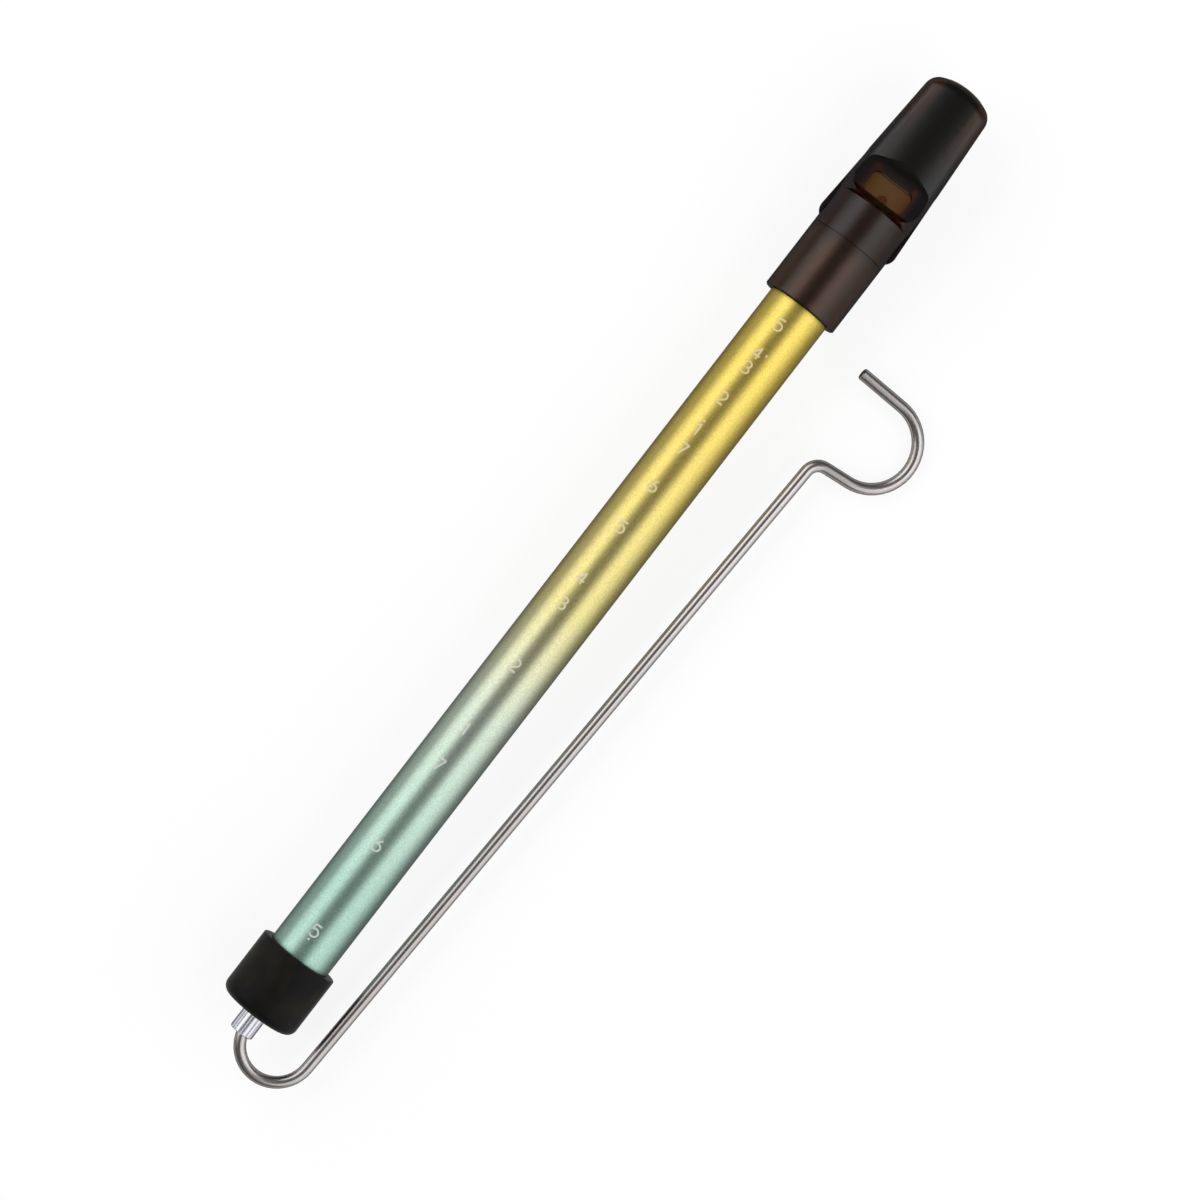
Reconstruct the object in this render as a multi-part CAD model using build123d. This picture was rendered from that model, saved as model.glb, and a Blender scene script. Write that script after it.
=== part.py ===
from build123d import *
import os
from math import asin, cos, hypot, sin, sqrt

# A slide whistle lying on a table: an anodised tube with a beaked mouthpiece at one end,
# a soft cap at the other, and a bent wire slide that carries a piston inside the tube.
# Millimetres. While it is built, X runs along the tube's axis towards the mouthpiece, with
# X = 0 at the tube's lower end, and Z is up. At the end everything moves to the base centre.

# Fits
seat_clearance = 0.02        # pushed together and left, on the radius
running_clearance = 0.05     # slides or turns, on the radius
end_play = 0.05              # between the piston and each washer

# Tube
tube_diameter = 16.0
tube_wall = 1.0
tube_showing = 192.6         # between the cap and the mouthpiece
tube_edge = 0.2              # chamfer on both ends

# End cap
cap_wall = 2.15
cap_floor = 3.5
cap_grip = 13.35             # length of tube inside the cap
cap_corner = 2.4
cap_rim_round = 0.4

# Guide bush in the cap's floor
bush_wall = 1.5
bush_proud = 5.95            # length outside the cap
bush_edge = 0.3
flange_width = 2.0
flange_thickness = 1.2
spline_count = 12
spline_depth = 0.25
mouth_clearance = 0.2        # round the wire where its bend enters the bush

# Felt bumper on the bush's flange
bumper_thickness = 2.0
bumper_clearance = 0.3

# Wire slide, from the piston out round the cap, back along the tube and into the hook
rod_diameter = 3.0
inner_run = 192.6            # from the first bend to the shoulder under the piston
bend_inset = 2.7             # the first bend starts this far inside the bush's mouth
slide_gap = 6.25             # between the cap's side and the returning wire
return_angle = 2.34          # degrees away from the tube
return_length = 184.1
kink_radius = 3.6
leg_angle = 84.1             # degrees from the tube
leg_length = 6.5
hook_radius = 11.0
tip_angle = 88.4             # degrees from the tube
tip_length = 12.65
tip_edge = 0.2

# Piston, and what holds it on the wire's reduced end
shank_diameter = 2.5
shank_past_nut = 0.8
piston_length = 8.0
piston_clearance = 0.25      # between the core and the tube
ring_section = 1.8
ring_spacing = 4.0
groove_side_clearance = 0.2
washer_diameter = 9.0
washer_thickness = 0.8
nut_width = 5.0              # across flats
nut_thickness = 2.0

# Mouthpiece: the round part that holds the tube
socket_wall = 1.86
socket_depth = 17.5
socket_edge = 0.3
seam_from_rim = 18.6
seam_depth = 0.15
head_length = 64.1

# Mouthpiece: the beak
wing_from_rim = 19.8
wing_overhang = 1.2          # belly beyond the round part, on each side
wing_corner = 3.0
tip_width = 17.1
tip_bulge = 2.4
tip_corner = 4.0
tip_thickness = 6.6
tip_drop = 0.6               # roof at the tip below the roof at the window
roof_radius = 23.5
roof_edge_round = 3.5
flare_length = 6.0           # from the socket's round section to the roof's own
flare_rise = 2.5
hollow_length = 25.0         # hollowed underside, measured back from the tip
hollow_bulge = 2.6           # how far that hollow rises above a straight slope
hollow_edge_round = 1.0

# Mouthpiece: what makes the sound, in a scoop across the roof
step_from_rim = 28.5         # the round part ends in a step down to the ramp
step_height = 0.7
ramp_length = 2.2            # from the step to the sounding edge
lip_height = 0.1             # sounding edge above the bore
window_length = 5.5
window_width = 11.0
window_corner = 1.2
scoop_foot = 0.6             # floor of the scoop at the windway, above the sounding edge
scoop_length = 5.6           # from the windway up to the roof
scoop_overshoot = 0.1        # how far the curve ends above the roof, so that it leaves it cleanly
windway_width = 9.0
windway_height = 1.2
windway_below_lip = 0.9
block_thickness = 2.5
bore_overrun = 2.4           # bore under the block, past the window
gate_radius = 1.3            # round stub on the bore's floor where the mould was fed, under the window
gate_height = 2.0
gate_from_labium = 1.8

# Radii that follow
tube_radius = tube_diameter / 2
bore_radius = tube_radius - tube_wall
seat_radius = tube_radius + seat_clearance
cap_radius = seat_radius + cap_wall
rod_radius = rod_diameter / 2
guide_radius = rod_radius + running_clearance
bush_radius = guide_radius + bush_wall
socket_radius = seat_radius + socket_wall
wing_half = socket_radius + wing_overhang
tip_half = tip_width / 2
shank_radius = shank_diameter / 2
ring_outer = bore_radius - running_clearance
bend_radius = (cap_radius + slide_gap + rod_radius) / 2

# Places along X that follow
bush_mouth = -cap_floor - bush_proud
bend_start = bush_mouth + bend_inset
shoulder = bend_start + inner_run
rear_washer_end = shoulder + washer_thickness
core_start = rear_washer_end + end_play
core_end = core_start + piston_length
front_washer_start = core_end + end_play
nut_start = front_washer_start + washer_thickness
nut_end = nut_start + nut_thickness
rim = cap_grip + tube_showing
tube_end = rim + socket_depth
wing_start = rim + wing_from_rim
step = rim + step_from_rim
labium = step + ramp_length
window_end = labium + window_length
bore_end = window_end + bore_overrun
tip = rim + head_length
tip_shoulder = tip - tip_bulge

# Heights that follow: the belly's flat lies level with the cap, so that the tube lies level
lip = bore_radius + lip_height
windway_floor = lip - windway_below_lip
windway_roof = windway_floor + windway_height
slot_floor = windway_floor - block_thickness
roof = socket_radius
tip_top = roof - tip_drop
tip_bottom = tip_top - tip_thickness
belly = -cap_radius
beyond = 2 * head_length     # a length that reaches past the mouthpiece

# How solids stand on the point where they are placed
on_base = (Align.CENTER, Align.CENTER, Align.MIN)
from_rear = (Align.MIN, Align.CENTER, Align.MIN)


def turned(points):
    """A solid turned about X from the points (x, radius) of its half section."""
    return revolve(make_face(Polyline(*points, close=True)), Axis.X)


def bar(start, end, radius):
    """A round bar along X."""
    return Pos(X=start) * Rot(Y=90) * Cylinder(radius, end - start, align=on_base)


def rounded(face, corner, radius):
    """The face with its corner nearest to the given point rounded."""
    return fillet(face.vertices().sort_by_distance((*corner, 0))[0], radius)


def ring(start, end, outer, inner):
    """A plain round ring along X."""
    return turned([(start, inner), (start, outer), (end, outer), (end, inner)])


def tube():
    return turned([
        (0, bore_radius),
        (0, tube_radius - tube_edge),
        (tube_edge, tube_radius),
        (tube_end - tube_edge, tube_radius),
        (tube_end, tube_radius - tube_edge),
        (tube_end, bore_radius),
    ])


def end_cap():
    hole = bush_radius + seat_clearance
    face = make_face(Polyline(
        (-cap_floor, hole),
        (-cap_floor, cap_radius),
        (cap_grip, cap_radius),
        (cap_grip, seat_radius),
        (0, seat_radius),
        (0, hole),
        close=True,
    ))
    face = rounded(face, (-cap_floor, cap_radius), cap_corner)
    face = rounded(face, (cap_grip, cap_radius), cap_rim_round)
    return revolve(face, Axis.X)


def guide_bush():
    bend_offset = bend_radius - sqrt(bend_radius**2 - bend_inset**2)
    mouth_radius = rod_radius + bend_offset + mouth_clearance
    body = turned([
        (bush_mouth, mouth_radius),
        (bush_mouth, bush_radius - bush_edge),
        (bush_mouth + bush_edge, bush_radius),
        (0, bush_radius),
        (0, bush_radius + flange_width),
        (flange_thickness, bush_radius + flange_width),
        (flange_thickness, guide_radius),
        (bend_start, guide_radius),
    ])
    groove = Pos(Z=bush_radius) * bar(bush_mouth, 0, spline_depth)
    return body - [Rot(X=i * 360 / spline_count) * groove for i in range(spline_count)]


def bumper():
    end = flange_thickness + bumper_thickness
    return ring(flange_thickness, end, bore_radius - bumper_clearance, rod_radius + bumper_clearance)


def slide_path():
    """The wire's centre line, with the distance from the tube's axis along Y."""
    inner = Line((shoulder, 0), (bend_start, 0))
    bend = JernArc(inner @ 1, inner % 1, bend_radius, return_angle - 180)
    back = Line(bend @ 1, bend @ 1 + return_length * (bend % 1))
    kink = JernArc(back @ 1, back % 1, kink_radius, leg_angle - return_angle)
    leg = Line(kink @ 1, kink @ 1 + leg_length * (kink % 1))
    hook = JernArc(leg @ 1, leg % 1, hook_radius, -leg_angle - tip_angle)
    end = Line(hook @ 1, hook @ 1 + (tip_length - tip_edge) * (hook % 1))
    return Wire([inner, bend, back, kink, leg, hook, end])


def slide_rod():
    path = slide_path()
    wire = sweep(Plane(path @ 0, z_dir=path % 0) * Circle(rod_radius), path=path)
    chamfered_end = Cone(rod_radius, rod_radius - tip_edge, tip_edge, align=on_base)
    free_end = Plane(path @ 1, z_dir=path % 1) * chamfered_end
    rod = wire + free_end + bar(shoulder, nut_end + shank_past_nut, shank_radius)
    # The hook drops about the tube's axis until it lies on the same table as the cap.
    reach = path.bounding_box().max.Y
    droop = asin((cap_radius - rod_radius) / reach)
    return Plane((0, 0, 0), x_dir=(1, 0, 0), z_dir=(0, sin(droop), -cos(droop))) * rod


def piston_core():
    outer = bore_radius - piston_clearance
    inner = shank_radius + running_clearance
    groove_floor = ring_outer - ring_section - seat_clearance
    core = ring(core_start, core_end, outer, inner)
    half = ring_section / 2 + groove_side_clearance
    return core - [ring(x - half, x + half, bore_radius, groove_floor) for x in ring_places()]


def ring_places():
    """Where the two seal rings sit on the piston, rear one first."""
    middle = (core_start + core_end) / 2
    return middle - ring_spacing / 2, middle + ring_spacing / 2


def seal_ring(x):
    section = ring_section / 2
    return Pos(X=x) * Rot(Y=90) * Torus(ring_outer - section, section)


def washer(start):
    return ring(start, start + washer_thickness, washer_diameter / 2, shank_radius + seat_clearance)


def piston_nut():
    hexagon = RegularPolygon(nut_width / 2, 6, major_radius=False)
    body = extrude(Plane.YZ.offset(nut_start) * hexagon, nut_thickness)
    return body - bar(nut_start, nut_end, shank_radius + seat_clearance)


def beak_plan():
    """The beak seen from above: wide at the wings, rounded at the tip."""
    face = make_face([
        Line((wing_start, wing_half), (tip_shoulder, tip_half)),
        ThreePointArc((tip_shoulder, tip_half), (tip, 0), (tip_shoulder, -tip_half)),
        Line((tip_shoulder, -tip_half), (wing_start, -wing_half)),
        Line((wing_start, -wing_half), (wing_start, wing_half)),
    ])
    for side in (1, -1):
        face = rounded(face, (wing_start, side * wing_half), wing_corner)
        face = rounded(face, (tip_shoulder, side * tip_half), tip_corner)
    return face


def beak_upper():
    """The beak above the tube's axis: no wider than the socket, under a shallow round roof."""
    strip = Rectangle(beyond, 2 * socket_radius, align=(Align.MIN, Align.CENTER))
    block = extrude(beak_plan() & Pos(step) * strip, 2 * roof)
    roof_line = Plane((step, 0, roof - roof_radius), z_dir=(tip - step, 0, -tip_drop))
    block &= roof_line * Cylinder(roof_radius, 2 * beyond)
    # The roof's outline is rounded, all but its rear edge, which the scoop cuts away.
    top = block.faces().sort_by(Axis.Z)[-1]
    block = fillet(top.edges().sort_by(Axis.X)[1:], roof_edge_round)
    # It leaves the socket's end flush, and flares from there to its own section.
    block &= turned([
        (step, 0),
        (step, socket_radius),
        (step + flare_length, socket_radius + flare_rise),
        (tip + tip_bulge, socket_radius + flare_rise),
        (tip + tip_bulge, 0),
    ])
    return block - scoop_cut()


def scoop_cut():
    """The hollow across the roof: down the ramp to the sounding edge, then up in a soft double curve."""
    end = window_end + scoop_length
    roof_at_end = roof - tip_drop * (end - step) / (tip - step)
    foot = Vector(window_end, lip + scoop_foot)
    crest = Vector(end, roof_at_end + scoop_overshoot)
    rising = TangentArc(foot, (foot + crest) / 2, tangent=(1, 0))
    easing = TangentArc(rising @ 1, crest, tangent=rising % 1)
    face = make_face([
        Polyline(crest, (end, beyond), (step, beyond), (step, roof - step_height), (labium, lip), foot),
        rising,
        easing,
    ])
    return extrude(Plane.XZ * face, wing_half, both=True)


def beak_lower():
    """The beak below the axis: a tapered half round that stands out past the socket as two wings."""
    half = Pos(wing_start) * Rectangle(beyond, beyond, align=(Align.MIN, Align.MIN))
    turned_beak = revolve(beak_plan() & half, Axis.X)
    return turned_beak - Pos(X=wing_start) * Box(beyond, beyond, beyond, align=from_rear)


def belly_cut():
    """What lies below the beak: under its flat, and in the hollow that thins it towards the tip."""
    hollow_start = tip - hollow_length
    rise = tip_bottom - belly
    chord = hypot(hollow_length, rise)
    middle = (
        (hollow_start + tip) / 2 - hollow_bulge * rise / chord,
        (belly + tip_bottom) / 2 + hollow_bulge * hollow_length / chord,
    )
    face = make_face([
        ThreePointArc((hollow_start, belly), middle, (tip, tip_bottom)),
        Polyline(
            (tip, tip_bottom),
            (tip + tip_bulge, tip_bottom),
            (tip + tip_bulge, belly - wing_half),
            (wing_start, belly - wing_half),
            (wing_start, belly),
            (hollow_start, belly),
        ),
    ])
    return extrude(Plane.XZ * face, wing_half, both=True)


def beak():
    body = beak_upper() + beak_lower() - belly_cut()
    hollow = body.faces().filter_by(GeomType.CYLINDER).sort_by(Axis.Z)[0]
    return fillet(hollow.edges(), hollow_edge_round)


def mouthpiece():
    socket = turned([
        (rim, 0),
        (rim, socket_radius - socket_edge),
        (rim + socket_edge, socket_radius),
        (step, socket_radius),
        (step, 0),
    ])
    body = socket + beak()
    body -= bar(rim, tube_end, seat_radius)
    body -= bar(tube_end, bore_end, bore_radius)
    body -= seam_cut()
    body -= window_cut()
    body -= windway_slot(tip + tip_bulge, windway_roof, windway_width)
    return body + gate_mark()


def seam_cut():
    """A fine groove round the mouthpiece where the mould's core ended."""
    x = rim + seam_from_rim
    return turned([
        (x, socket_radius - seam_depth),
        (x - seam_depth, socket_radius + seam_depth),
        (x + seam_depth, socket_radius + seam_depth),
    ])


def window_cut():
    opening = RectangleRounded(window_length, window_width, window_corner)
    return extrude(Pos(labium + window_length / 2, 0) * opening, beyond)


def windway_slot(end, top, width):
    """A flat bar from the window out to the tip, standing on the slot's floor."""
    size = (end - window_end, width, top - slot_floor)
    return Pos(window_end, 0, slot_floor) * Box(*size, align=from_rear)


def fipple_block():
    block = windway_slot(tip, windway_floor, windway_width - 2 * seat_clearance)
    return block & extrude(beak_plan(), beyond)


def gate_mark():
    low = -bore_radius - gate_height
    disc = Cylinder(gate_radius, 2 * gate_height, align=on_base)
    return Pos(labium + gate_from_labium, 0, low) * disc


rear_ring, front_ring = ring_places()
pieces = {
    "mouthpiece": mouthpiece(),
    "fipple_block": fipple_block(),
    "tube": tube(),
    "end_cap": end_cap(),
    "guide_bush": guide_bush(),
    "felt_bumper": bumper(),
    "slide_rod": slide_rod(),
    "rear_washer": washer(shoulder),
    "piston_core": piston_core(),
    "rear_seal_ring": seal_ring(rear_ring),
    "front_seal_ring": seal_ring(front_ring),
    "front_washer": washer(front_washer_start),
    "piston_nut": piston_nut(),
}

# The part's origin is the centre of its base, as it lies on the table.
box = Compound(list(pieces.values())).bounding_box()
to_base = Pos(-box.center().X, -box.center().Y, -box.min.Z)

os.makedirs("parts", exist_ok=True)
for name, piece in pieces.items():
    export_step(to_base * piece, f"parts/{name}.step")

print("tube axis at", [round(v, 3) for v in to_base.position])
print("slide travel", round(shoulder - flange_thickness - bumper_thickness, 3))
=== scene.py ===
from math import ceil, cos, hypot, pi, radians, sin, tau

import bmesh
import bpy
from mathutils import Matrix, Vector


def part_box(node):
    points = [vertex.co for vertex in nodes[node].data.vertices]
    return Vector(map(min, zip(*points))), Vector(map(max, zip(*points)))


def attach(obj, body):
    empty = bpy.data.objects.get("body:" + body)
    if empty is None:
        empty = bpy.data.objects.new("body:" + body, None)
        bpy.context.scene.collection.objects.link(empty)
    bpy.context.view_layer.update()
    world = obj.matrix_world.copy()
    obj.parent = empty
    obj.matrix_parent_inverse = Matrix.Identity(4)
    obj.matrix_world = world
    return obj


# A slide whistle lying on a white table, seen from straight above.
# Metres, in the frame's own axes: X along the tube towards the mouthpiece, Z up, hook towards -Y.

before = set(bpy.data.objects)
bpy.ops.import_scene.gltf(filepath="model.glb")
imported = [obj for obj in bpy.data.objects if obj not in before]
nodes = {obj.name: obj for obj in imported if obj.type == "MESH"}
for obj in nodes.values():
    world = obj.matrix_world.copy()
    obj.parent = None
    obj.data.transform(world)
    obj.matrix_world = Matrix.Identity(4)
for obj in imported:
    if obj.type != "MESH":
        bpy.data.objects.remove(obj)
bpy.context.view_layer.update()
MM = 0.001

# Places that the looks follow, read from the frame
tube_low, tube_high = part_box("tube")
axis_y = (tube_low.y + tube_high.y) / 2
axis_z = (tube_low.z + tube_high.z) / 2
tube_points = [nodes["tube"].matrix_world @ vertex.co for vertex in nodes["tube"].data.vertices]
tube_radius = max(hypot(point.y - axis_y, point.z - axis_z) for point in tube_points)
cap_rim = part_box("end_cap")[1].x
mouth_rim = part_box("mouthpiece")[0].x
mouth_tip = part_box("mouthpiece")[1].x
window_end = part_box("fipple_block")[0].x

# Camera: straight above, turned about the vertical
camera_place = (-3.54 * MM, 12.52 * MM, 924 * MM)
camera_turn = -52.37         # degrees
camera_lens = 116.4          # millimetres, on the sensor's width below
camera_sensor = 36

# Lights: on each side of the tube a wide soft panel, and a smaller one nearer the mouthpiece and top.
# A panel's tilt is in degrees from straight up, negative towards the hook.
light_distance = 0.70
wide_panel = {"along": 0.0, "length": 1.2}
hot_panel = {"along": 0.20, "length": 0.5, "height": 0.50, "level": 0.9}
panels = [
    {**wide_panel, "height": 0.68, "level": 2.0, "tilt": 53.5},
    {**wide_panel, "height": 0.88, "level": 1.75, "tilt": -57.5},
    {**hot_panel, "tilt": 41.0},
    {**hot_panel, "tilt": -45.0},
]
room_light = 0.20

# Floor
floor_half = 6.0
floor_drop = 0.03 * MM       # keeps the floor clear of the flat that rests on it
floor_albedo = 0.92
floor_lift = 0.86            # share of the floor that stays white inside the shadow


class Nodes:
    """One material, with short calls that add nodes to it."""

    def __init__(self, name):
        self.material = bpy.data.materials.new(name)
        self.material.use_nodes = True
        self.tree = self.material.node_tree
        self.shader = self.tree.nodes["Principled BSDF"]
        self.output = self.tree.nodes["Material Output"]

    def add(self, kind, inputs=None, **settings):
        """A new node, with its settings and its inputs as values or as other nodes' outputs."""
        node = self.tree.nodes.new(kind)
        for name, value in settings.items():
            setattr(node, name, value)
        for name, value in (inputs or {}).items():
            self.put(node.inputs[name], value)
        return node

    def put(self, socket, value):
        """Sets a socket to a plain value, or links another node's output to it."""
        if isinstance(value, bpy.types.NodeSocket):
            self.tree.links.new(value, socket)
        else:
            socket.default_value = value

    def shade(self, **inputs):
        """Sets the Principled shader's inputs, named with underscores for spaces."""
        for name, value in inputs.items():
            self.put(self.shader.inputs[name.replace("_", " ")], value)

    def place(self):
        """The place on the piece, in axes that are the frame's own while the whistle is at rest."""
        return self.add("ShaderNodeTexCoord").outputs["Object"]

    def stretched(self, place, scale):
        """The place with each axis scaled, for grain that runs one way."""
        return self.add("ShaderNodeMapping", {"Vector": place, "Scale": scale}).outputs["Vector"]

    def noise(self, place, size, detail=2.0):
        """Soft noise from 0 to 1, with features of the given size in the units of the place."""
        found = self.add("ShaderNodeTexNoise", {"Vector": place, "Scale": 1 / size, "Detail": detail})
        return found.outputs["Fac"]

    def spread(self, value, low, high, start=0.0, end=1.0):
        """Maps a value from start..end to low..high."""
        mapped = self.add("ShaderNodeMapRange", {
            "Value": value, "From Min": start, "From Max": end, "To Min": low, "To Max": high,
        })
        return mapped.outputs["Result"]

    def mixed(self, share, first, second):
        """A colour between two others."""
        mix = self.add("ShaderNodeMix", data_type="RGBA")
        self.put(mix.inputs["Factor"], share)
        self.put(mix.inputs[6], first)
        self.put(mix.inputs[7], second)
        return mix.outputs[2]

    def scaled(self, colour, factor):
        """A colour made lighter or darker."""
        node = self.add("ShaderNodeVectorMath", {0: colour, "Scale": factor}, operation="SCALE")
        return node.outputs[0]

    def maths(self, operation, first, second):
        """One plain sum on two values."""
        return self.add("ShaderNodeMath", {0: first, 1: second}, operation=operation).outputs[0]

    def share_along(self, place, start, end):
        """How far the place lies along X from start to end, as 0 to 1."""
        x = self.add("ShaderNodeSeparateXYZ", {"Vector": place}).outputs["X"]
        return self.spread(x, 0, 1, start, end)

    def ramp(self, share, stops):
        """A colour that runs through the given (place, colour) stops."""
        node = self.add("ShaderNodeValToRGB", {"Fac": share})
        elements = node.color_ramp.elements
        while len(elements) < len(stops):
            elements.new(0.5)
        for element, (position, colour) in zip(elements, stops):
            element.position = position
            element.color = (*colour, 1)
        return node.outputs["Color"]

    def bump(self, height, distance, strength=1.0):
        """A normal from a height between 0 and 1 that stands for the given distance in metres."""
        node = self.add("ShaderNodeBump", {"Height": height, "Distance": distance, "Strength": strength})
        return node.outputs["Normal"]


def rgb(red, green, blue):
    """A colour with full cover."""
    return (red, green, blue, 1)


def dress(name, made):
    """Gives a CAD node its material."""
    slots = nodes[name].data.materials
    slots.clear()
    slots.append(made)


# Materials

# The tube's dye, as shares of the way from the cap to the mouthpiece
dye_stops = [
    (0.10, (0.460, 0.704, 0.603)),
    (0.24, (0.560, 0.750, 0.630)),
    (0.37, (0.655, 0.750, 0.620)),
    (0.45, (0.732, 0.740, 0.485)),
    (0.54, (0.793, 0.705, 0.285)),
    (0.75, (0.840, 0.660, 0.158)),
    (0.90, (0.850, 0.647, 0.114)),
]


def dye_along(n, place):
    """The tube's dye, mint at the cap and gold at the mouthpiece."""
    return n.ramp(n.share_along(place, cap_rim, mouth_rim), dye_stops)


def anodised_metal():
    """Bead-blasted dyed aluminium. A dark edge tint and a grey coat with almost no shine are painted
    shade that darkens it where it turns away.
    """
    n = Nodes("anodised_tube")
    place = n.place()
    dye = dye_along(n, place)
    grain = n.noise(place, 0.40 * MM, 3)
    fine = n.noise(place, 0.16 * MM, 1)
    speckle = n.mixed(n.spread(fine, 0.0, 0.10, 0.35, 0.75), dye, rgb(0.9, 0.9, 0.85))
    n.shade(
        Base_Color=n.scaled(speckle, n.spread(grain, 0.93, 1.25, 0.3, 0.7)),
        Metallic=1.0,
        Roughness=n.spread(fine, 0.33, 0.45),
        Normal=n.bump(grain, 0.02 * MM, 0.35),
        # Dark edge tint and grey coat: painted shade where the tube turns away
        Specular_Tint=rgb(0.2, 0.2, 0.2),
        Coat_Weight=1.0,
        Coat_Roughness=0.5,
        Coat_IOR=1.09,
        Coat_Tint=rgb(0.52, 0.52, 0.52),
    )
    return n.material


def etched_metal():
    """Dull strokes where part of the dye was burnt away."""
    n = Nodes("etched_numerals")
    place = n.place()
    grain = n.noise(place, 0.25 * MM, 2)
    n.shade(
        Base_Color=n.mixed(n.spread(grain, 0.5, 0.7), dye_along(n, place), rgb(0.50, 0.45, 0.44)),
        Metallic=0.2,
        Roughness=0.6,
        Specular_IOR_Level=0.2,
    )
    return n.material


# The smoked plastic's tint, set by place: lightest over the tube, a painted glow where the tube shows
# through; darker round the window; darkest in the solid beak, painted shade.
tube_fade = 4 * MM           # each way from the tube's end
beak_fade = 6 * MM           # on from the window
tube_glow_smoke = (0.95, 0.76, 0.61)
window_smoke = (0.56, 0.475, 0.42)
beak_shade_smoke = (0.34, 0.315, 0.31)
smoke_glow_and_shade_places = [
    (tube_high.x - tube_fade, tube_glow_smoke),
    (tube_high.x + tube_fade, window_smoke),
    (window_end, window_smoke),
    (window_end + beak_fade, beak_shade_smoke),
]


def smoked_plastic():
    """Smoky see-through plastic with a satin skin: thin walls glow brown, thick ones look black. Its
    tint also carries painted glow over the tube and painted shade in the beak, and its grey coat is
    painted shade where it turns away.
    """
    n = Nodes("smoked_plastic")
    place = n.place()
    cloud = n.noise(place, 9 * MM, 3)
    skin = n.noise(place, 0.5 * MM, 3)
    inside = n.add("ShaderNodeNewGeometry").outputs["Backfacing"]
    stops = [((x - mouth_rim) / (mouth_tip - mouth_rim), colour) for x, colour in smoke_glow_and_shade_places]
    # Painted glow over the tube and painted shade in the beak, carried in the plastic's tint
    smoke_glow_and_shade = n.ramp(n.share_along(place, mouth_rim, mouth_tip), stops)
    n.shade(
        Base_Color=n.scaled(smoke_glow_and_shade, n.spread(cloud, 0.92, 1.08)),
        Roughness=n.spread(skin, 0.29, 0.37),
        Specular_IOR_Level=1.0,
        IOR=1.58,
        Transmission_Weight=1.0,
        # A grey coat with almost no shine, on outer faces only: painted shade where the plastic turns
        # away
        Coat_Weight=n.spread(inside, 1, 0),
        Coat_Roughness=0.4,
        Coat_IOR=1.02,
        Coat_Tint=rgb(0.46, 0.46, 0.46),
        Normal=n.bump(skin, 0.01 * MM, 0.25),
    )
    absorption = n.add("ShaderNodeVolumeAbsorption", {"Color": rgb(0.65, 0.41, 0.04), "Density": 720.0})
    n.put(n.output.inputs["Volume"], absorption.outputs["Volume"])
    return n.material


def moulded_plastic(name, dark, pale, roughness):
    """Opaque moulded plastic with a faint flow pattern."""
    n = Nodes(name)
    place = n.place()
    flow = n.noise(n.stretched(place, (0.3, 1, 1)), 2.5 * MM, 3)
    skin = n.noise(place, 0.3 * MM, 2)
    n.shade(
        Base_Color=n.mixed(flow, dark, pale),
        Roughness=n.spread(skin, roughness - 0.06, roughness + 0.06),
        Normal=n.bump(skin, 0.01 * MM, 0.3),
    )
    return n.material


def cap_rubber():
    """Black rubber with a faint olive bloom."""
    n = Nodes("cap_rubber")
    place = n.place()
    patches = n.spread(n.noise(place, 6 * MM, 4), 0, 1, 0.4, 0.75)
    skin = n.noise(place, 0.35 * MM, 3)
    n.shade(
        Base_Color=n.mixed(patches, rgb(0.005, 0.0045, 0.005), rgb(0.012, 0.0105, 0.006)),
        Roughness=n.spread(skin, 0.42, 0.58),
        Specular_IOR_Level=0.06,
        Normal=n.bump(skin, 0.02 * MM, 0.3),
    )
    return n.material


def seal_rubber():
    """Greased black rubber."""
    n = Nodes("seal_rubber")
    skin = n.noise(n.place(), 0.4 * MM, 2)
    n.shade(
        Base_Color=n.mixed(skin, rgb(0.012, 0.012, 0.012), rgb(0.03, 0.03, 0.03)),
        Roughness=n.spread(skin, 0.25, 0.4),
    )
    return n.material


def drawn_wire():
    """Stainless wire with fine drawing lines along it."""
    n = Nodes("slide_wire")
    facing = n.add("ShaderNodeTexCoord").outputs["Normal"]
    lines = n.noise(facing, 0.07, 3)
    tone = n.noise(n.place(), 14 * MM, 2)
    steel = n.mixed(tone, rgb(0.275, 0.257, 0.250), rgb(0.345, 0.326, 0.319))
    n.shade(
        Base_Color=n.scaled(steel, n.spread(lines, 0.80, 1.20, 0.3, 0.7)),
        Metallic=1.0,
        Roughness=n.spread(lines, 0.24, 0.34),
        # Dark edge tint: painted shade where the wire turns away
        Specular_Tint=rgb(0.05, 0.05, 0.05),
    )
    return n.material


def plain_metal(name, dark, pale, roughness):
    """Turned metal with fine marks round its axis."""
    n = Nodes(name)
    place = n.place()
    turning = n.noise(n.stretched(place, (1, 0.05, 0.05)), 0.2 * MM, 3)
    n.shade(
        Base_Color=n.mixed(turning, dark, pale),
        Metallic=1.0,
        Roughness=n.spread(turning, roughness - 0.05, roughness + 0.08),
        Normal=n.bump(turning, 0.002 * MM, 0.3),
        # Dark edge tint: painted shade where the metal turns away
        Specular_Tint=rgb(0.05, 0.05, 0.05),
    )
    return n.material


def pressed_felt():
    """Grey felt with short matted fibres."""
    n = Nodes("bumper_felt")
    place = n.place()
    fibres = n.noise(place, 0.25 * MM, 5)
    n.shade(
        Base_Color=n.mixed(fibres, rgb(0.14, 0.135, 0.13), rgb(0.34, 0.33, 0.315)),
        Roughness=0.95,
        Sheen_Weight=0.4,
        Normal=n.bump(fibres, 0.15 * MM, 0.6),
    )
    return n.material


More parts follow.
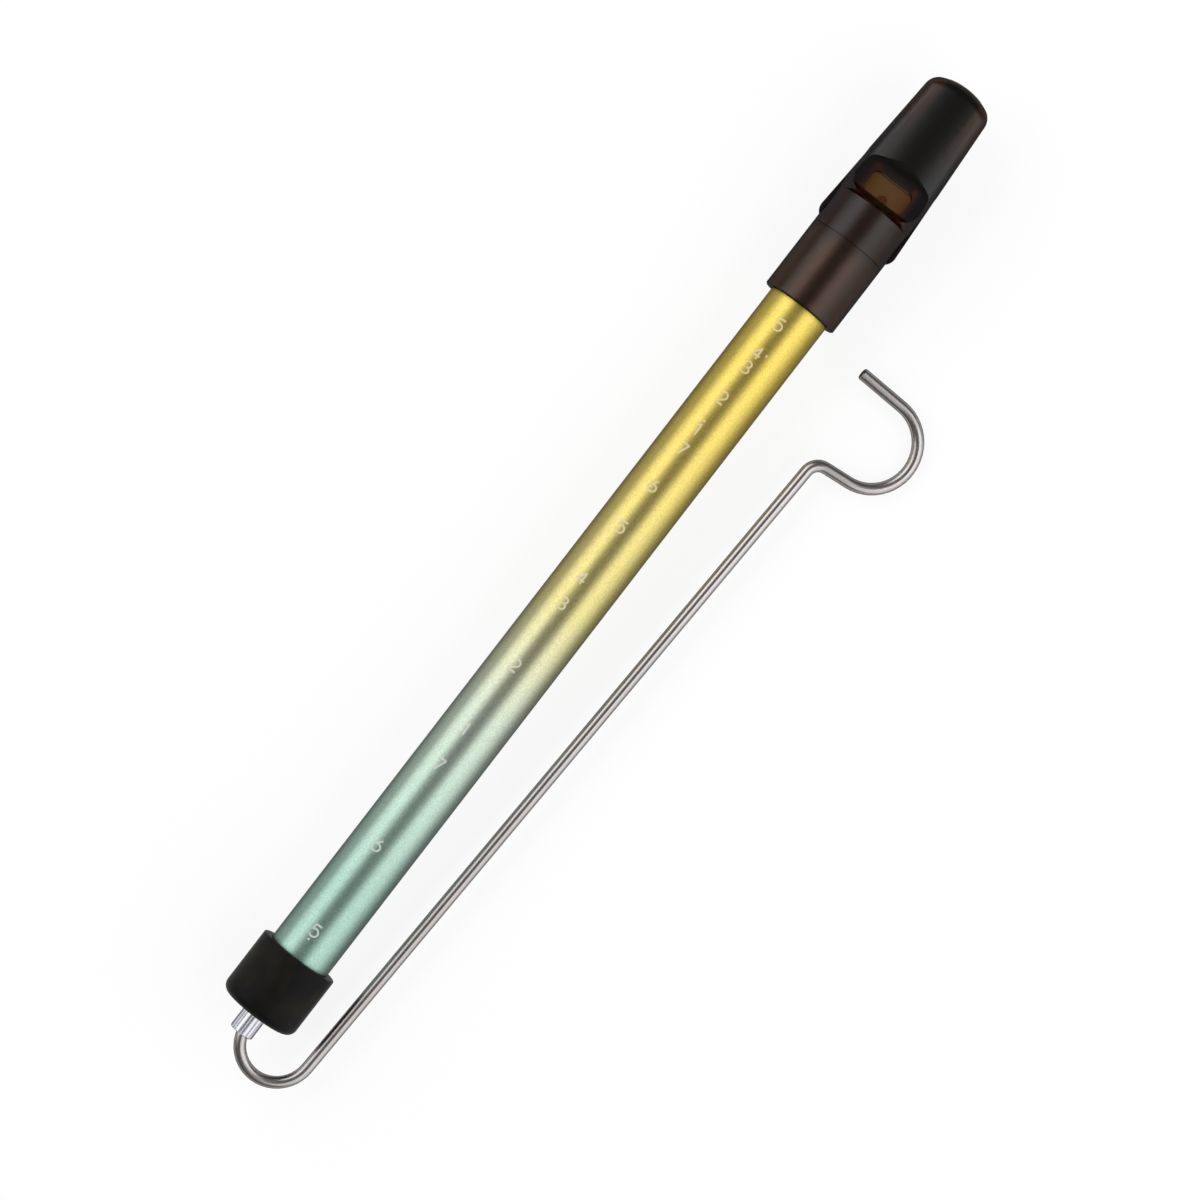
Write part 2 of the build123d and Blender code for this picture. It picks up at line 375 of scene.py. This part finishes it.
def floor_white():
    """A pale floor that stays near white for the eye and keeps a soft shadow."""
    n = Nodes("floor_white")
    path = n.add("ShaderNodeLightPath").outputs
    seen = n.maths("MAXIMUM", path["Is Camera Ray"], path["Is Glossy Ray"])
    seen = n.maths("MAXIMUM", seen, path["Is Transmission Ray"])
    lift = n.maths("MULTIPLY", seen, floor_lift)
    paper = n.add("ShaderNodeBsdfDiffuse", {"Color": rgb(floor_albedo, floor_albedo, floor_albedo)})
    glow = n.add("ShaderNodeEmission", {"Color": rgb(1, 1, 1), "Strength": 1.0})
    both = n.add("ShaderNodeMixShader", {0: lift, 1: paper.outputs[0], 2: glow.outputs[0]})
    n.put(n.output.inputs["Surface"], both.outputs[0])
    return n.material


# Numerals: strokes in a box one digit high, from its lower left corner

digit_height = 3.0 * MM
digit_middle = (0.36, 0.5)   # of that box, in digit heights
stroke_width = 0.45 * MM
stroke_sunk = 0.08 * MM      # below the tube's surface
stroke_proud = 0.012 * MM    # above it
stroke_step = 0.15 * MM      # longest straight piece of a stroke
step_slack = 0.001           # of a step, so that a whole number of steps stays whole
dot_radius = 0.3 * MM


def arc(x, y, width, height, start, end, steps=16):
    """Points on an ellipse with the given centre and half sizes, between two angles in degrees."""
    turns = [radians(start + (end - start) * i / steps) for i in range(steps + 1)]
    return [(x + width * cos(a), y + height * sin(a)) for a in turns]


digit_strokes = {
    "1": [[(0.16, 0.80), (0.40, 1.00), (0.40, 0.00)]],
    "2": [arc(0.36, 0.69, 0.32, 0.31, 165, -35) + [(0.02, 0.00), (0.70, 0.00)]],
    "3": [arc(0.33, 0.76, 0.30, 0.24, 155, -90) + arc(0.33, 0.26, 0.36, 0.26, 90, -155)],
    "4": [[(0.52, 0.00), (0.52, 1.00), (0.00, 0.30), (0.74, 0.30)]],
    "5": [[(0.66, 1.00), (0.12, 1.00), (0.08, 0.56)] + arc(0.34, 0.33, 0.36, 0.33, 130, -150)],
    "6": [[(0.56, 1.00), (0.24, 0.66)] + arc(0.36, 0.31, 0.35, 0.31, 150, 510)],
    "7": [[(0.02, 1.00), (0.70, 1.00), (0.28, 0.00)]],
}

# Each numeral: the digit, and its middle's distance from the cap and from the tube's top line towards
# the hook, in millimetres. A dot is placed by two such distances too.
numerals = [
    ("5", 7.75, -0.6),
    ("6", 32.5, -1.35),
    ("7", 56.2, -1.6),
    ("1", 66.5, -1.6),
    ("2", 85.4, -1.6),
    ("3", 103.7, -1.6),
    ("4", 111.1, -1.7),
    ("5", 126.1, -1.65),
    ("6", 138.3, -1.6),
    ("7", 149.2, -1.55),
    ("1", 155.0, -1.4),
    ("2", 164.4, -1.4),
    ("3", 173.5, -1.25),
    ("4", 177.7, -1.3),
    ("5", 185.9, -1.25),
]
dots = [(5.3, -0.7), (157.5, -1.4), (178.3, 0.95)]


def resampled(points, step):
    """The same line with its points no further apart than the step."""
    line = [points[0]]
    for (x0, y0), (x1, y1) in zip(points, points[1:]):
        count = max(1, ceil(hypot(x1 - x0, y1 - y0) / step - step_slack))
        shares = [i / count for i in range(1, count + 1)]
        line += [(x0 + (x1 - x0) * share, y0 + (y1 - y0) * share) for share in shares]
    return line


def on_tube(across, along, height):
    """A point on the tube: across from its top line towards the hook, along from the cap, raised."""
    turn = across / tube_radius
    out = tube_radius + height
    return cap_rim + along, axis_y - out * sin(turn), axis_z + out * cos(turn)


def add_ribbon(mesh, line, width):
    """A closed flat ribbon along the line, wrapped on the tube."""
    low, high = -stroke_sunk, stroke_proud
    rings = []
    last = len(line) - 1
    for i, (x, y) in enumerate(line):
        (x0, y0), (x1, y1) = line[max(i - 1, 0)], line[min(i + 1, last)]
        length = hypot(x1 - x0, y1 - y0)
        side = ((y0 - y1) / length * width / 2, (x1 - x0) / length * width / 2)
        left = (x + side[0], y + side[1])
        right = (x - side[0], y - side[1])
        corners = [(left, low), (left, high), (right, high), (right, low)]
        rings.append([mesh.verts.new(on_tube(*point, height)) for point, height in corners])
    for first, second in zip(rings, rings[1:]):
        for i in range(4):
            mesh.faces.new((first[i - 1], first[i], second[i], second[i - 1]))
    mesh.faces.new(rings[0])
    mesh.faces.new(reversed(rings[-1]))


def add_dot(mesh, across, along):
    """A small closed disc on the tube."""
    sides = 16
    turns = [tau * i / sides for i in range(sides)]
    edge = [(across + dot_radius * cos(a), along + dot_radius * sin(a)) for a in turns]
    low = [mesh.verts.new(on_tube(*point, -stroke_sunk)) for point in edge]
    high = [mesh.verts.new(on_tube(*point, stroke_proud)) for point in edge]
    for i in range(sides):
        mesh.faces.new((low[i - 1], low[i], high[i], high[i - 1]))
    mesh.faces.new(high)
    mesh.faces.new(reversed(low))


def note_marks():
    """The numerals and dots along the tube's upper side."""
    mesh = bmesh.new()
    middle_x, middle_y = digit_middle
    for digit, along, across in numerals:
        for stroke in digit_strokes[digit]:
            line = [
                (across * MM + (x - middle_x) * digit_height, along * MM + (y - middle_y) * digit_height)
                for x, y in stroke
            ]
            add_ribbon(mesh, resampled(line, stroke_step), stroke_width)
    for along, across in dots:
        add_dot(mesh, across * MM, along * MM)
    bmesh.ops.recalc_face_normals(mesh, faces=mesh.faces)
    data = bpy.data.meshes.new("note_marks")
    mesh.to_mesh(data)
    mesh.free()
    piece = bpy.data.objects.new("note_marks", data)
    data.materials.append(etched_metal())
    bpy.context.scene.collection.objects.link(piece)
    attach(piece, "barrel")


# Stage

def camera():
    """Looks straight down, turned so that the whistle lies across the picture."""
    data = bpy.data.cameras.new("camera")
    data.sensor_width = camera_sensor
    data.lens = camera_lens
    item = bpy.data.objects.new("camera", data)
    item.location = camera_place
    item.rotation_euler = (0, 0, radians(camera_turn))
    bpy.context.scene.collection.objects.link(item)
    bpy.context.scene.camera = item


def side_light(panel):
    """A soft panel that faces the tube from one side. Its level is the brightness of its surface."""
    data = bpy.data.lights.new("side_light", "AREA")
    data.shape = "RECTANGLE"
    data.size = panel["length"]
    data.size_y = panel["height"]
    data.energy = pi * panel["length"] * panel["height"] * panel["level"]
    item = bpy.data.objects.new("side_light", data)
    tilt = radians(panel["tilt"])
    across = light_distance * sin(tilt)
    item.location = (panel["along"], axis_y + across, axis_z + light_distance * cos(tilt))
    item.rotation_euler = (-tilt, 0, 0)
    item.visible_camera = False
    bpy.context.scene.collection.objects.link(item)


def floor():
    """The white table."""
    data = bpy.data.meshes.new("floor")
    signs = ((-1, -1), (1, -1), (1, 1), (-1, 1))
    corners = [(x * floor_half, y * floor_half, -floor_drop) for x, y in signs]
    data.from_pydata(corners, [], [(0, 1, 2, 3)])
    data.materials.append(floor_white())
    item = bpy.data.objects.new("floor", data)
    bpy.context.scene.collection.objects.link(item)


def room():
    """Even white light from all round, and plain colours in the picture."""
    world = bpy.data.worlds.new("room")
    world.use_nodes = True
    sky = world.node_tree.nodes["Background"]
    sky.inputs["Color"].default_value = rgb(1, 1, 1)
    sky.inputs["Strength"].default_value = room_light
    bpy.context.scene.world = world
    bpy.context.scene.view_settings.view_transform = "Standard"


# The whole scene

dress("tube", anodised_metal())
dress("mouthpiece", smoked_plastic())
block_plastic = moulded_plastic("block_plastic", rgb(0.10, 0.055, 0.02), rgb(0.15, 0.085, 0.03), 0.5)
dress("fipple_block", block_plastic)
dress("end_cap", cap_rubber())
dress("guide_bush", plain_metal("bush_metal", rgb(0.44, 0.44, 0.48), rgb(0.54, 0.54, 0.58), 0.25))
dress("felt_bumper", pressed_felt())
dress("slide_rod", drawn_wire())
washer_metal = plain_metal("washer_brass", rgb(0.58, 0.42, 0.18), rgb(0.72, 0.54, 0.26), 0.3)
dress("rear_washer", washer_metal)
dress("front_washer", washer_metal)
core_plastic = moulded_plastic("piston_plastic", rgb(0.68, 0.66, 0.62), rgb(0.78, 0.76, 0.72), 0.45)
dress("piston_core", core_plastic)
ring_rubber = seal_rubber()
dress("rear_seal_ring", ring_rubber)
dress("front_seal_ring", ring_rubber)
dress("piston_nut", plain_metal("nut_steel", rgb(0.44, 0.43, 0.42), rgb(0.58, 0.57, 0.55), 0.28))
note_marks()
camera()
for panel in panels:
    side_light(panel)
floor()
room()
